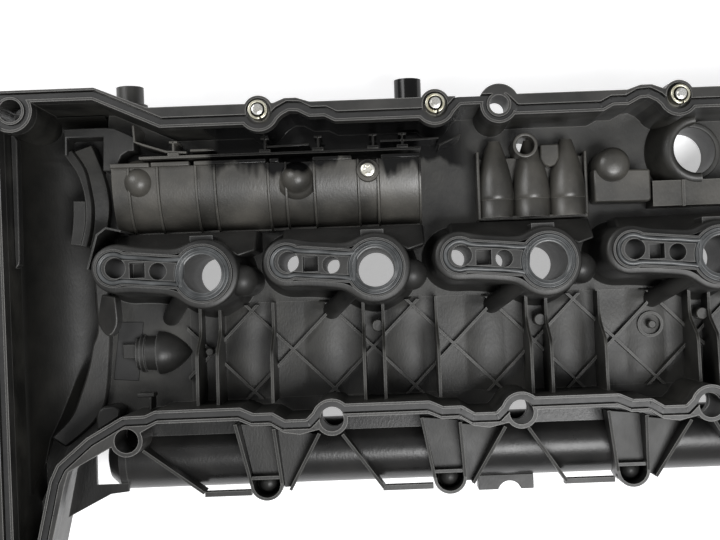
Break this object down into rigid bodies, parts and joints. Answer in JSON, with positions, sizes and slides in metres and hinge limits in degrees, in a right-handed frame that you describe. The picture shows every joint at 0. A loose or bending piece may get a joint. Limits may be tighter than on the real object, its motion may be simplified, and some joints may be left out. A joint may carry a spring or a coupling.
{
  "type": "cylinder head cover",
  "caption": "Moulded plastic cylinder-head cover for an inline engine, shown from its open underside, with plug-well seals, oil separator baffles and captive flange bolts.",
  "frame": {"origin": "axis of the front plug well on the sealing plane", "axes": "+X rearward along the row of plug wells, +Z out of the open underside, +Y towards the intake side"},
  "size_m": [0.617, 0.2795, 0.0916],
  "materials": {
    "cover_nylon": "glass-filled nylon, semi-gloss, oily",
    "flange_nylon": "moulded lips, satin",
    "well_nylon": "glass-filled nylon, semi-gloss",
    "baffle_nylon": "glass-filled nylon, oily",
    "tube_nylon": "smooth moulded nylon",
    "bracket_nylon": "matt nylon",
    "seal_rubber": "grey seal rubber, matt",
    "edge_rubber": "black seal rubber, matt",
    "valve_rubber": "moulded rubber",
    "zinc_steel": "bright zinc plate",
    "sleeve_steel": "rolled steel strip",
    "screw_steel": "zinc plate",
    "spring_steel": "spring steel"
  },
  "bodies": {
    "cover": {"baffle_screw": "screw_steel", "ball_posts": "cover_nylon", "bolt_sleeves": "sleeve_steel", "clip_bracket": "bracket_nylon", "cover_shell": "cover_nylon", "cyclone_separator": "baffle_nylon", "exhaust_brackets": "cover_nylon", "filler_neck": "cover_nylon", "front_baffle": "baffle_nylon", "front_hose_stub": "cover_nylon", "perimeter_gasket": "edge_rubber", "plug_well_1": "well_nylon", "plug_well_2": "well_nylon", "plug_well_3": "well_nylon", "plug_well_4": "well_nylon", "plug_well_5": "well_nylon", "plug_well_6": "well_nylon", "pot_baffle": "baffle_nylon", "rear_baffle": "baffle_nylon", "regulator_cap": "cover_nylon", "regulator_cup": "cover_nylon", "regulator_diaphragm": "valve_rubber", "regulator_spring": "spring_steel", "reservoir_cap_front": "tube_nylon", "reservoir_cap_rear": "tube_nylon", "reservoir_tube": "tube_nylon", "reservoir_web": "tube_nylon", "roof_ribs": "cover_nylon", "sealing_flange": "flange_nylon", "snap_strip": "baffle_nylon", "thrust_cone": "cover_nylon", "timing_arch": "cover_nylon", "timing_ledge": "cover_nylon", "valve_guide": "cover_nylon", "valve_seat": "cover_nylon", "vent_hose_stub": "cover_nylon", "vent_stack": "baffle_nylon", "well_gasket_1": "seal_rubber", "well_gasket_2": "seal_rubber", "well_gasket_3": "seal_rubber", "well_gasket_4": "seal_rubber", "well_gasket_5": "seal_rubber", "well_gasket_6": "seal_rubber"},
    "bolt_1": {"flange_bolt_1": "zinc_steel"},
    "bolt_2": {"flange_bolt_2": "zinc_steel"},
    "bolt_3": {"flange_bolt_3": "zinc_steel"},
    "bolt_4": {"flange_bolt_4": "zinc_steel"},
    "bolt_5": {"flange_bolt_5": "zinc_steel"},
    "regulator_valve": {"regulator_plate": "spring_steel"},
    "vent_valve": {"valve_disc": "valve_rubber"}
  },
  "joints": [
    {"name": "bolt_1_float", "type": "slide", "parent": "cover", "child": "bolt_1", "axis": [0, 0, 1], "range_m": [0, 0.004]},
    {"name": "bolt_2_float", "type": "slide", "parent": "cover", "child": "bolt_2", "axis": [0, 0, 1], "range_m": [0, 0.004]},
    {"name": "bolt_3_float", "type": "slide", "parent": "cover", "child": "bolt_3", "axis": [0, 0, 1], "range_m": [0, 0.004]},
    {"name": "bolt_4_float", "type": "slide", "parent": "cover", "child": "bolt_4", "axis": [0, 0, 1], "range_m": [0, 0.004]},
    {"name": "bolt_5_float", "type": "slide", "parent": "cover", "child": "bolt_5", "axis": [0, 0, 1], "range_m": [0, 0.004]},
    {"name": "regulator_stroke", "type": "slide", "parent": "cover", "child": "regulator_valve", "axis": [0, 0, 1], "range_m": [0, 0.003], "stiffness_N_per_m": 300, "deforming": ["regulator_spring", "regulator_diaphragm"]},
    {"name": "vent_valve_lift", "type": "slide", "parent": "cover", "child": "vent_valve", "axis": [0, 1, 0], "range_m": [0, 0.0025]}
  ]
}
